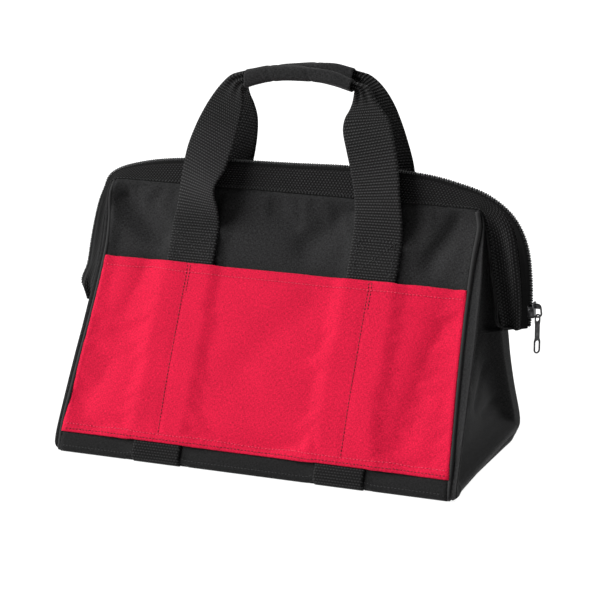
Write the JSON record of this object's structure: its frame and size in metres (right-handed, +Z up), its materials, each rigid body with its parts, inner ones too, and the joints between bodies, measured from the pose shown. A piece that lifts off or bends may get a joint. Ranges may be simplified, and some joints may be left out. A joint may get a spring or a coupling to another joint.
{
  "type": "tool bag",
  "caption": "Wide-mouth fabric tool bag with a red pocket front, webbing handles with sleeved grips and a zip along the top and down both ends.",
  "frame": {"origin": "on the floor under the middle of the bag, midway between its ends, on the underside of the base", "axes": "+X to the bag's right as seen from the front, -Y out of the pocket front, +Z up"},
  "size_m": [0.3872, 0.1859, 0.3013],
  "materials": {
    "black_cloth": "plain woven polyester, matt",
    "red_cloth": "plain woven polyester, matt",
    "webbing": "ribbed polypropylene webbing",
    "band": "coarse woven tape",
    "piping": "smooth covered cord",
    "zip": "zip tape and nylon coil",
    "metal": "dark satin"
  },
  "bodies": {
    "bag": {"base_panel": "black_cloth", "front_panel": "black_cloth", "back_panel": "black_cloth", "left_gusset": "black_cloth", "right_gusset": "black_cloth", "front_grip": "black_cloth", "back_grip": "black_cloth", "pocket_panel": "red_cloth", "front_strap": "webbing", "back_strap": "webbing", "front_band": "band", "back_band": "band", "left_piping": "piping", "right_piping": "piping", "front_zip_tape": "zip", "back_zip_tape": "zip", "zip_coil": "zip", "zip_slider": "metal"},
    "pull": {"zip_pull": "metal"}
  },
  "joints": [
    {"name": "pull_swing", "type": "hinge", "parent": "bag", "child": "pull", "pos_m": [0.1973, 0.003, 0.1236], "axis": [0, -1, 0], "range_deg": [0, 120]}
  ]
}
